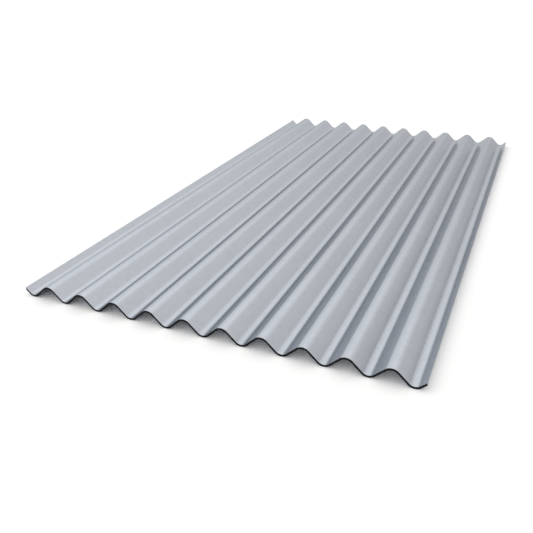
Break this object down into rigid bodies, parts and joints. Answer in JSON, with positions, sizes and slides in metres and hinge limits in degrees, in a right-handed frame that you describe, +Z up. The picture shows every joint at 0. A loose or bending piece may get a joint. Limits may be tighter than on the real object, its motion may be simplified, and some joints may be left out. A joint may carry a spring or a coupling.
{
  "type": "corrugated metal sheet",
  "caption": "Rectangular sheet of coated steel rolled into parallel round waves along its length, with both long edges turned up to lap over its neighbours in a roof or wall.",
  "frame": {"origin": "middle of the sheet, on the floor that its valleys rest on", "axes": "+Y along the waves, +X across the waves, +Z up from the floor"},
  "size_m": [0.8002, 1.5, 0.0287],
  "materials": {
    "zinc_coated_steel": "satin zinc coating with dark cut ends"
  },
  "bodies": {
    "root": {"corrugated_sheet": "zinc_coated_steel"}
  },
  "joints": []
}
